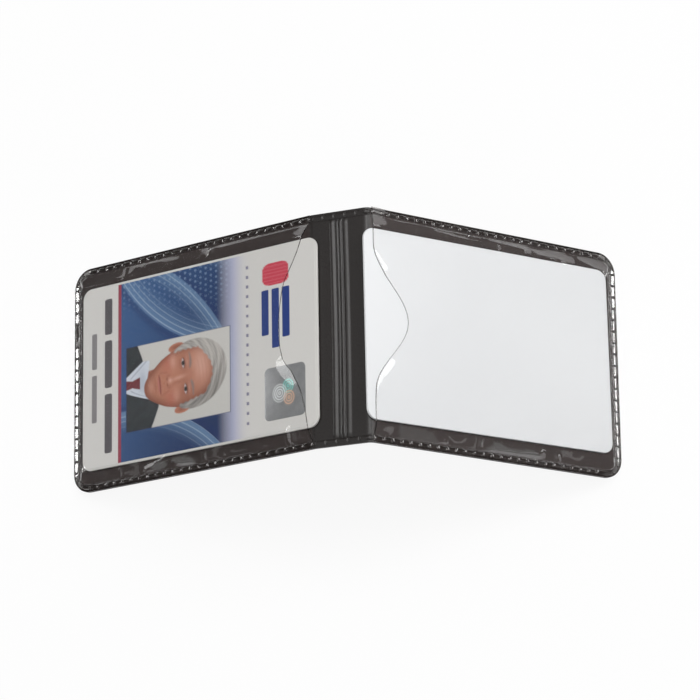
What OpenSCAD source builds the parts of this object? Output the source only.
// Two-window vinyl badge wallet, standing open like a tent on its two outer edges.
// Each panel holds one card behind a clear film that is welded to it on three sides.
// The folds run along Y. X is across the wallet, and Z is up from the table.

/* [Sheets] */
// Height of the wallet along its folds
wallet_h = 66.4; // [62:0.1:80]
// Length of a panel from its fold to its outer edge
panel_len = 87.4; // [86.5:0.1:100]
// Radius of the outer corners
corner_r = 6; // [3:0.1:10]
// Thickness of the grained outer cover
cover_t = 0.5; // [0.3:0.05:0.8]
// Thickness of the smooth lining
lining_t = 0.4; // [0.3:0.05:0.8]
// Thickness of the clear film
film_t = 0.25; // [0.15:0.05:0.4]

/* [Spine] */
// Distance between the folds of the two panels
fold_span = 16.6; // [15:0.1:22]
// Distance between the two folds beside the ribs
rib_strip_w = 6.2; // [5.8:0.1:7.5]
// Number of ribs pressed into the spine
rib_count = 4; // [2:1:5]
// Width of one rib
rib_w = 0.76; // [0.5:0.02:0.9]
// Distance from a fold beside the ribs to the middle of the nearest rib
rib_edge = 1.15; // [1.05:0.05:1.4]
// Distance from the ends of the ribs to the edge of the wallet
rib_inset = 2.3; // [2:0.1:5]
// Running gap at each fold
fold_gap = 0.1; // [0.05:0.01:0.2]

/* [Welded border] */
// Width of the welded border
weld_w = 1.9; // [1.5:0.1:3]
// Distance from the edge to the pressed weld line
weld_line_inset = 1.2; // [0.9:0.1:1.3]
// Width of the pressed weld line
weld_line_w = 0.5; // [0.2:0.05:0.6]
// Depth of the pressed weld line
weld_line_depth = 0.12; // [0.05:0.01:0.14]

/* [Windows] */
// Depth of the thumb notch in the mouth of each window
notch_depth = 11.4; // [6:0.1:20]
// Half the width of the bell-shaped notch in the right window
right_notch_half = 20; // [12:0.5:28]
// Half the width of the wide notch in the left window
left_notch_half = 29; // [16:0.5:29]
// Distance of both notches above the middle of the wallet
notch_shift = 1.4; // [0:0.1:1.8]

/* [Cards] */
// Length of a card
card_len = 85.6; // [80:0.1:85.6]
// Width of a card
card_w = 54; // [50:0.1:54]
// Thickness of a card
card_t = 0.76; // [0.5:0.01:0.9]
// Radius of the corners of a card
card_r = 3.18; // [2:0.01:4]
// How far a card stands past the fold of its panel
card_overhang = 2.1; // [1:0.1:3]
// How far each card lies off the middle of its pocket
card_shift = 0.35; // [0:0.05:0.4]
// How far the blank card is turned in its pocket, in degrees
blank_card_turn = 0.5; // [0:0.1:0.5]
// Gap between a card and the sheets on both sides of it
card_gap = 0.1; // [0.05:0.01:0.2]
// Gap between the long edges of a card and the raised part of the film
card_play = 0.85; // [0.8:0.05:1.2]
// Gap between the outer end of a card and the end of the raised part
card_end_gap = 0.35; // [0.3:0.05:0.4]
// Thickness of the printed film on the id card
print_t = 0.06; // [0.04:0.01:0.1]
// White rim left round the printed film
print_margin = 0.7; // [0.3:0.1:2]
// Thickness of the security patch
patch_t = 0.03; // [0.02:0.01:0.05]
// Length of the security patch along the card
patch_len = 14.2; // [8:0.1:20]
// Width of the security patch
patch_w = 15; // [8:0.1:20]
// Radius of the corners of the security patch
patch_r = 1.6; // [0.5:0.1:3]
// Distance from the inner end of the card to the patch
patch_from_end = 4.3; // [2:0.1:20]
// Distance from the lower edge of the card to the patch
patch_from_edge = 4; // [2:0.1:20]

/* [Pose] */
// Angle by which the ribbed strip leans, with its right side up
spine_lean = 21; // [0:1:25]
// Angle by which the left panel slopes down from level
left_slope = 34; // [30:1:45]

/* [Hidden] */

// Every sheet stack is centred on the axis of its folds, half its thickness above and below.
half_t = (cover_t + lining_t) / 2;
cover_bottom = -half_t;
lining_bottom = half_t - lining_t;
// A sheet that hinges on its neighbour starts this far from the axis of the fold.
fold_clear = half_t + fold_gap;
rib_axis = rib_strip_w / 2;
panel_axis = fold_span / 2;
rib_pitch = (rib_strip_w - 2 * rib_edge) / (rib_count - 1);
rib_len = wallet_h - 2 * rib_inset;

card_x = -card_overhang;
card_z = half_t + card_gap;
print_z = card_z + card_t - print_t;
patch_z = card_z + card_t;
// Height of the underside of the raised film over the lining
film_rise = card_t + patch_t + 2 * card_gap;
raised_end = card_x + card_len + card_end_gap;
raised_half = card_w / 2 + card_play;
raised_r = card_r + card_end_gap;
film_foot_r = corner_r - weld_w;
overrun = 1;
notch_steps = 32;

// The right panel slopes so that both outer edges stand on the table.
right_slope = asin(sin(left_slope) + fold_span * sin(spine_lean) / panel_len);
left_bend = left_slope - spine_lean;
right_bend = right_slope + spine_lean;
border_top = half_t + film_t;
reach_left = panel_axis * cos(spine_lean) + panel_len * cos(left_slope) + border_top * sin(left_slope);
reach_right = panel_axis * cos(spine_lean) + panel_len * cos(right_slope) + border_top * sin(right_slope);
spine_x = (reach_left - reach_right) / 2;
spine_z = panel_axis * sin(spine_lean) + panel_len * sin(left_slope) + half_t * cos(left_slope);

$fn = 48;

// Places

// Frame of the ribbed strip: X across the ribs, Y along them, Z out of the card side.
module on_spine() {
    translate([spine_x, 0, spine_z])
        rotate([0, -spine_lean, 0])
            children();
}

module on_left_flank() {
    on_spine()
        mirror([1, 0, 0])
            children();
}

// Frame of a panel: X from its fold to its outer edge, Y along the fold, Z out of the card side.
module on_right_panel() {
    on_spine()
        translate([panel_axis, 0, 0])
            rotate([0, right_bend, 0])
                children();
}

module on_left_panel() {
    on_left_flank()
        translate([panel_axis, 0, 0])
            rotate([0, left_bend, 0])
                children();
}

module on_id_card() {
    on_left_panel()
        translate([card_x, -card_shift, 0])
            children();
}

module on_blank_card() {
    on_right_panel()
        translate([card_x + card_len / 2, card_shift, card_z])
            rotate([0, 0, blank_card_turn])
                translate([-card_len / 2, 0, 0])
                    children();
}

// Outlines

module rounded_rectangle(len, width, r) {
    translate([0, r - width / 2])
        square([len, width - 2 * r]);
    translate([r, -width / 2])
        square([len - 2 * r, width]);
    for (x = [r, len - r], y = [r - width / 2, width / 2 - r])
        translate([x, y])
            circle(r);
}

// A panel seen from above, square at its fold and rounded at its outer corners.
module panel_outline(start, end, half_w, r) {
    translate([start, -half_w])
        square([end - r - start, 2 * half_w]);
    translate([start, r - half_w])
        square([end - start, 2 * (half_w - r)]);
    for (y = [r - half_w, half_w - r])
        translate([end - r, y])
            circle(r);
}

module panel_edge(inset, start = fold_clear) {
    panel_outline(start, panel_len - inset, wallet_h / 2 - inset, corner_r - inset);
}

// Depth of the notch at a distance y from its middle: a smooth bell that starts just before the mouth.
function bell(y, half_w) = (notch_depth + film_t) * (1 + cos(180 * y / half_w)) / 2 - film_t;

module notch_outline(half_w) {
    bell_points = [for (i = [0 : notch_steps])
        let (y = half_w * (2 * i / notch_steps - 1))
            [fold_clear + bell(y, half_w), y + notch_shift]];
    polygon(concat(
        [[fold_clear - overrun, notch_shift + half_w]],
        [[fold_clear - overrun, notch_shift - half_w]],
        bell_points));
}

// Sheets of the spine

// Section across a fold: a flat sheet stack with a round nose on each fold that it carries.
module folded_section(start, end, nose_at_start) {
    translate([start, -half_t])
        square([end - start, 2 * half_t]);
    translate([end, 0])
        circle(half_t);
    if (nose_at_start)
        translate([start, 0])
            circle(half_t);
}

module folded_layer(start, end, nose_at_start, bottom, thickness) {
    rotate([90, 0, 0])
        linear_extrude(height = wallet_h, center = true)
            intersection() {
                folded_section(start, end, nose_at_start);
                translate([start - overrun, bottom])
                    square([end - start + 2 * overrun, thickness]);
            }
}

// The weld line along both long ends of a sheet that starts and ends at the given places
module end_weld_lines(start, end) {
    for (side = [-1, 1])
        translate([start - overrun, side * (wallet_h / 2 - weld_line_inset) - weld_line_w / 2,
                   half_t - weld_line_depth])
            cube([end - start + 2 * overrun, weld_line_w, weld_line_depth + overrun]);
}

module strip_cover() {
    folded_layer(-rib_axis, rib_axis, true, cover_bottom, cover_t);
}

module rib() {
    rotate([90, 0, 0])
        cylinder(h = rib_len - rib_w, d = rib_w, center = true);
    for (side = [-1, 1])
        translate([0, side * (rib_len - rib_w) / 2, 0])
            sphere(d = rib_w);
}

module ribs() {
    intersection() {
        for (i = [0 : rib_count - 1])
            translate([(i - (rib_count - 1) / 2) * rib_pitch, 0, half_t])
                rib();
        translate([-rib_axis, -wallet_h / 2, half_t - lining_t / 2])
            cube([rib_strip_w, wallet_h, lining_t + rib_w]);
    }
}

module strip_lining() {
    difference() {
        folded_layer(-rib_axis, rib_axis, true, lining_bottom, lining_t);
        end_weld_lines(-rib_axis, rib_axis);
    }
    ribs();
}

module flank_cover() {
    folded_layer(rib_axis + fold_clear, panel_axis, false, cover_bottom, cover_t);
}

module flank_lining() {
    difference() {
        folded_layer(rib_axis + fold_clear, panel_axis, false, lining_bottom, lining_t);
        end_weld_lines(rib_axis + fold_clear, panel_axis);
    }
}

// Sheets of the panels

module panel_cover() {
    translate([0, 0, cover_bottom])
        linear_extrude(height = cover_t)
            panel_edge(0);
}

module panel_lining() {
    translate([0, 0, lining_bottom])
        linear_extrude(height = lining_t)
            panel_edge(0);
}

// The film raised over the card, as a filled form that slopes down to the weld on three sides
module raised_form(start) {
    hull() {
        linear_extrude(height = film_t / 2)
            panel_outline(start, panel_len - weld_w, wallet_h / 2 - weld_w, film_foot_r);
        translate([0, 0, film_rise])
            linear_extrude(height = film_t)
                panel_outline(start, raised_end, raised_half, raised_r);
    }
}

module weld_line() {
    translate([0, 0, film_t - weld_line_depth])
        linear_extrude(height = weld_line_depth + overrun)
            difference() {
                panel_edge(weld_line_inset - weld_line_w / 2, fold_clear - overrun);
                panel_edge(weld_line_inset + weld_line_w / 2, fold_clear - 2 * overrun);
            }
}

module window(notch_half) {
    translate([0, 0, half_t])
        difference() {
            union() {
                linear_extrude(height = film_t)
                    panel_edge(0);
                raised_form(fold_clear);
            }
            translate([0, 0, -film_t])
                raised_form(fold_clear - overrun);
            weld_line();
            translate([0, 0, -overrun])
                linear_extrude(height = film_rise + 3 * overrun)
                    notch_outline(notch_half);
        }
}

// Nodes

module spine_cover() {
    color("#262425")
        on_spine()
            strip_cover();
}

module spine_lining() {
    color("#363334")
        on_spine()
            strip_lining();
}

module left_flank_cover() {
    color("#262425")
        on_left_flank()
            flank_cover();
}

module left_flank_lining() {
    color("#302d2e")
        on_left_flank()
            flank_lining();
}

module right_flank_cover() {
    color("#262425")
        on_spine()
            flank_cover();
}

module right_flank_lining() {
    color("#302d2e")
        on_spine()
            flank_lining();
}

module left_cover() {
    color("#262425")
        on_left_panel()
            panel_cover();
}

module left_lining() {
    color("#302d2e")
        on_left_panel()
            panel_lining();
}

module left_window() {
    color("#c8ccd0", 0.35)
        on_left_panel()
            window(left_notch_half);
}

module right_cover() {
    color("#262425")
        on_right_panel()
            panel_cover();
}

module right_lining() {
    color("#302d2e")
        on_right_panel()
            panel_lining();
}

module right_window() {
    color("#c8ccd0", 0.35)
        on_right_panel()
            window(right_notch_half);
}

module id_card() {
    color("#d2cfc9")
        on_id_card()
            translate([0, 0, card_z])
                linear_extrude(height = card_t - print_t)
                    rounded_rectangle(card_len, card_w, card_r);
}

module id_card_print() {
    color("#4a6c9c")
        on_id_card()
            translate([print_margin, 0, print_z])
                linear_extrude(height = print_t)
                    rounded_rectangle(card_len - 2 * print_margin, card_w - 2 * print_margin,
                                      card_r - print_margin);
}

module id_card_patch() {
    color("#7d8182")
        on_id_card()
            translate([patch_from_end, patch_from_edge + (patch_w - card_w) / 2, patch_z])
                linear_extrude(height = patch_t)
                    rounded_rectangle(patch_len, patch_w, patch_r);
}

module blank_card() {
    color("#e8e9ec")
        on_blank_card()
            linear_extrude(height = card_t)
                rounded_rectangle(card_len, card_w, card_r);
}

spine_cover();
spine_lining();
left_flank_cover();
left_flank_lining();
right_flank_cover();
right_flank_lining();
left_cover();
left_lining();
left_window();
right_cover();
right_lining();
right_window();
id_card();
id_card_print();
id_card_patch();
blank_card();
